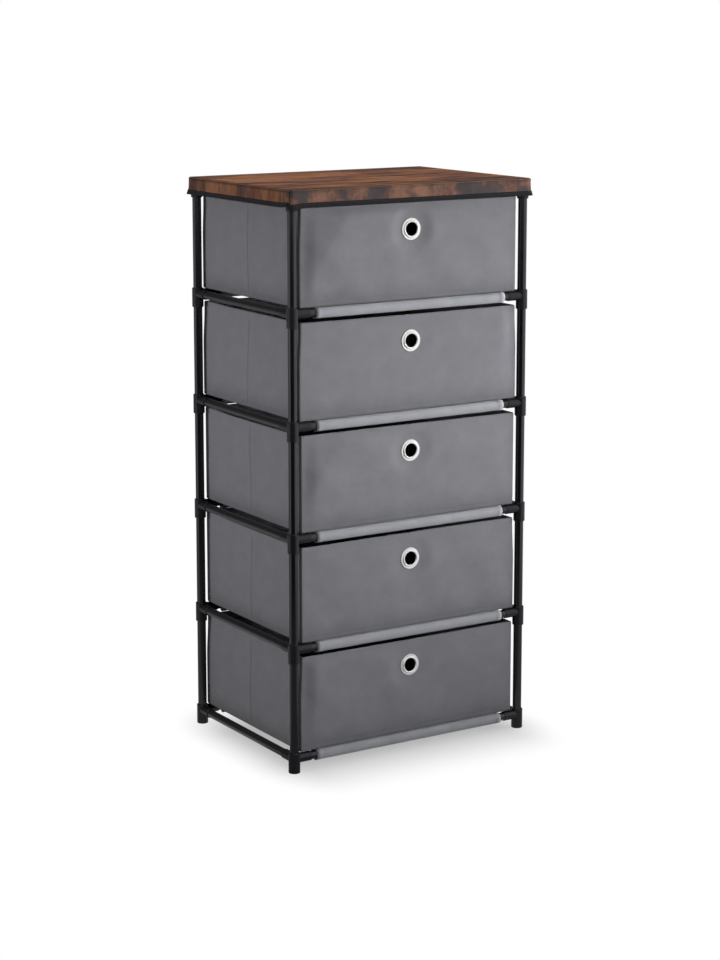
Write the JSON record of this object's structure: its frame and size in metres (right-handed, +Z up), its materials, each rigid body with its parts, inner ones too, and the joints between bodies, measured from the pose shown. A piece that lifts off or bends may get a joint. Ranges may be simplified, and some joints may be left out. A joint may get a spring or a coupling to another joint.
{
  "type": "fabric drawer dresser",
  "caption": "Tall tube-frame tower of pull-out fabric drawers with eyelet finger holes, cloth shelves and a wood-print fitted top cover.",
  "frame": {"origin": "floor level, below the middle of the top", "axes": "+Z up, drawer fronts face -Y, +X to the right of someone facing the fronts"},
  "size_m": [0.4566, 0.3266, 0.9171],
  "materials": {
    "black_tube": "satin black powder coat",
    "black_plastic": "satin moulded",
    "shelf_cloth": "non-woven, embossed",
    "drawer_cloth": "non-woven, embossed",
    "drawer_lining": "non-woven, plain",
    "stiffener_card": "plain board",
    "base_board": "cloth-faced board",
    "nickel_eyelet": "nickel plated",
    "fibreboard": "raw fibreboard",
    "printed_cover": "printed wood grain on coated cloth",
    "binding_tape": "woven tape"
  },
  "bodies": {
    "frame": {"connectors_tier_2": "black_plastic", "connectors_tier_3": "black_plastic", "connectors_tier_4": "black_plastic", "connectors_tier_5": "black_plastic", "cover_binding": "binding_tape", "cross_rails_tier_1": "black_tube", "cross_rails_tier_2": "black_tube", "cross_rails_tier_3": "black_tube", "cross_rails_tier_4": "black_tube", "cross_rails_tier_5": "black_tube", "foot_connectors": "black_plastic", "shelf_sheet_1": "shelf_cloth", "shelf_sheet_2": "shelf_cloth", "shelf_sheet_3": "shelf_cloth", "shelf_sheet_4": "shelf_cloth", "shelf_sheet_5": "shelf_cloth", "side_rails_tier_1": "black_tube", "side_rails_tier_2": "black_tube", "side_rails_tier_3": "black_tube", "side_rails_tier_4": "black_tube", "side_rails_tier_5": "black_tube", "top_board": "fibreboard", "top_connectors": "black_plastic", "top_cover": "printed_cover", "top_rails": "black_tube", "uprights_tier_1": "black_tube", "uprights_tier_2": "black_tube", "uprights_tier_3": "black_tube", "uprights_tier_4": "black_tube", "uprights_tier_5": "black_tube"},
    "drawer_1": {"drawer_1_base_board": "base_board", "drawer_1_eyelet": "nickel_eyelet", "drawer_1_front_card": "stiffener_card", "drawer_1_lining": "drawer_lining", "drawer_1_skin": "drawer_cloth", "drawer_1_wall_cards": "stiffener_card"},
    "drawer_2": {"drawer_2_base_board": "base_board", "drawer_2_eyelet": "nickel_eyelet", "drawer_2_front_card": "stiffener_card", "drawer_2_lining": "drawer_lining", "drawer_2_skin": "drawer_cloth", "drawer_2_wall_cards": "stiffener_card"},
    "drawer_3": {"drawer_3_base_board": "base_board", "drawer_3_eyelet": "nickel_eyelet", "drawer_3_front_card": "stiffener_card", "drawer_3_lining": "drawer_lining", "drawer_3_skin": "drawer_cloth", "drawer_3_wall_cards": "stiffener_card"},
    "drawer_4": {"drawer_4_base_board": "base_board", "drawer_4_eyelet": "nickel_eyelet", "drawer_4_front_card": "stiffener_card", "drawer_4_lining": "drawer_lining", "drawer_4_skin": "drawer_cloth", "drawer_4_wall_cards": "stiffener_card"},
    "drawer_5": {"drawer_5_base_board": "base_board", "drawer_5_eyelet": "nickel_eyelet", "drawer_5_front_card": "stiffener_card", "drawer_5_lining": "drawer_lining", "drawer_5_skin": "drawer_cloth", "drawer_5_wall_cards": "stiffener_card"}
  },
  "joints": [
    {"name": "drawer_1_slide", "type": "slide", "parent": "frame", "child": "drawer_1", "axis": [0, -1, 0], "range_m": [0, 0.24]},
    {"name": "drawer_2_slide", "type": "slide", "parent": "frame", "child": "drawer_2", "axis": [0, -1, 0], "range_m": [0, 0.24]},
    {"name": "drawer_3_slide", "type": "slide", "parent": "frame", "child": "drawer_3", "axis": [0, -1, 0], "range_m": [0, 0.24]},
    {"name": "drawer_4_slide", "type": "slide", "parent": "frame", "child": "drawer_4", "axis": [0, -1, 0], "range_m": [0, 0.24]},
    {"name": "drawer_5_slide", "type": "slide", "parent": "frame", "child": "drawer_5", "axis": [0, -1, 0], "range_m": [0, 0.24]}
  ]
}
